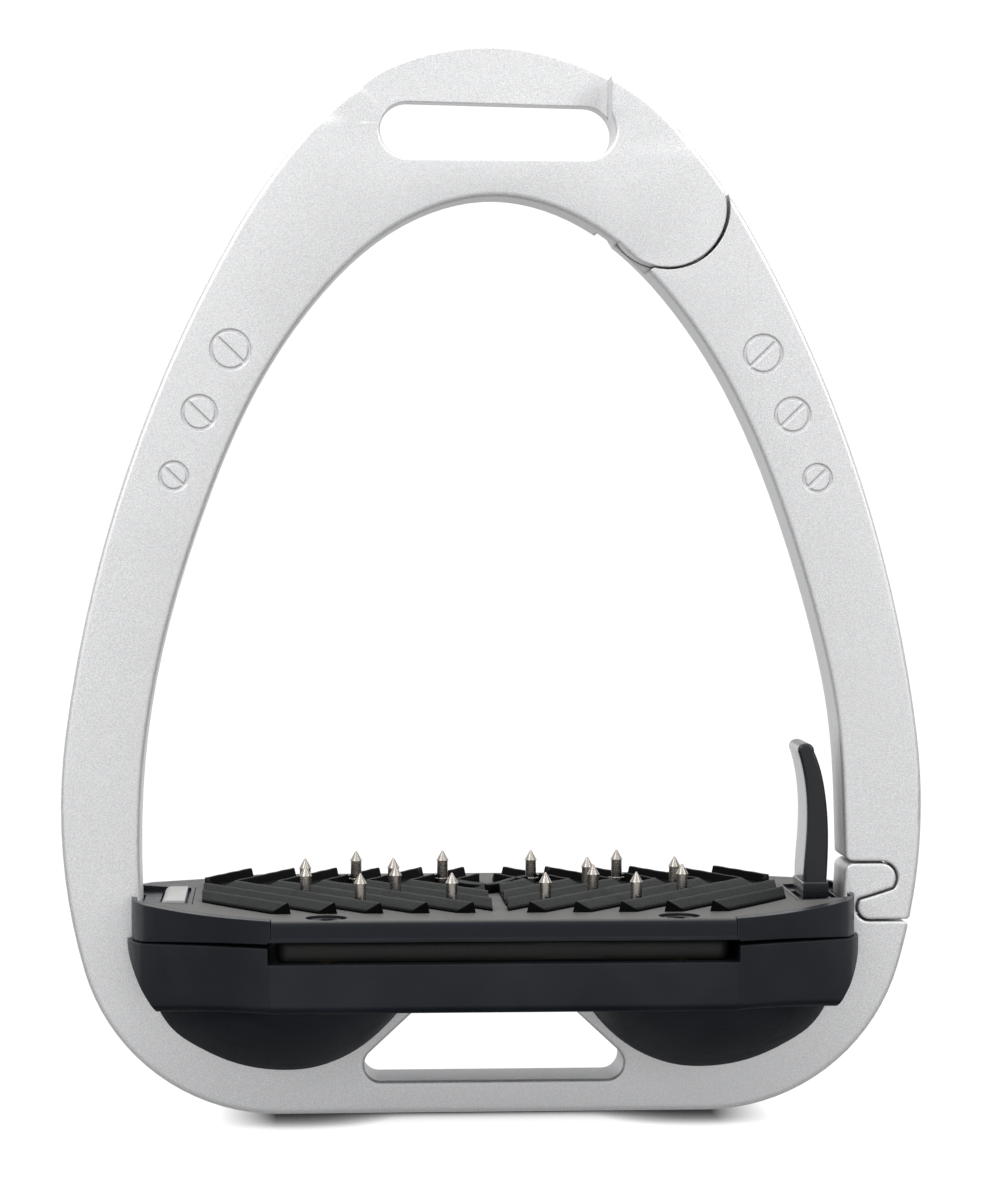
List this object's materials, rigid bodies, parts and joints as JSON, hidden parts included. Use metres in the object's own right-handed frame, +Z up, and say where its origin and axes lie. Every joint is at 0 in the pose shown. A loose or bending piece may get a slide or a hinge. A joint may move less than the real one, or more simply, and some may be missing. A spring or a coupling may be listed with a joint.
{
  "type": "stirrup iron",
  "caption": "Safety stirrup iron with a hinged release arm, foot-operated release lever, cushioned wide footbed, herringbone grip pads and pointed studs.",
  "frame": {"origin": "centre of the flat underside, on the bow's mid-plane", "axes": "+Z up towards the leather eye, +X towards the release arm (outer side of the rider's right stirrup when +Y points to the horse's tail), +Y through the depth away from the viewer"},
  "size_m": [0.1462, 0.0674, 0.1805],
  "materials": {
    "bow_silver": "satin, fine sparkle grain",
    "stainless": "turned",
    "stud_steel": "bright turned",
    "screw_black": "black oxide",
    "spring_steel": "drawn wire",
    "insert_brass": "turned",
    "bush_polymer": "moulded",
    "lever_black": "satin moulded",
    "housing_black": "satin moulded",
    "carrier_black": "satin moulded",
    "cushion_elastomer": "soft elastomer",
    "tread_coated": "fine matte coating",
    "grip_rubber": "matte moulded rubber",
    "plug_grey": "satin moulded"
  },
  "bodies": {
    "frame": {"main_frame": "bow_silver", "arm_pivot_screw": "stainless", "arm_pivot_washer": "bush_polymer", "lever_pin": "stainless", "lever_return_spring": "spring_steel", "housing_front": "housing_black", "housing_rear": "housing_black", "housing_dowels": "stainless", "threaded_inserts": "insert_brass", "cushion_pad": "cushion_elastomer", "footbed_carrier": "carrier_black", "tread_plate": "tread_coated", "grip_pad_left": "grip_rubber", "grip_pad_right": "grip_rubber", "studs_left": "stud_steel", "studs_right": "stud_steel", "tread_screws": "screw_black", "blanking_plug": "plug_grey"},
    "arm": {"release_arm": "bow_silver", "arm_pivot_bush": "bush_polymer"},
    "lever": {"release_lever": "lever_black"}
  },
  "joints": [
    {"name": "arm_swing", "type": "hinge", "parent": "frame", "child": "arm", "pos_m": [0.0292, 0, 0.1535], "axis": [0, -1, 0], "range_deg": [0, 45]},
    {"name": "lever_push", "type": "hinge", "parent": "frame", "child": "lever", "pos_m": [0.055, 0, 0.0332], "axis": [0, 1, 0], "range_deg": [0, 8], "stiffness_Nm_per_rad": 0.08, "springref_deg": -8.02, "deforming": ["lever_return_spring"]}
  ]
}
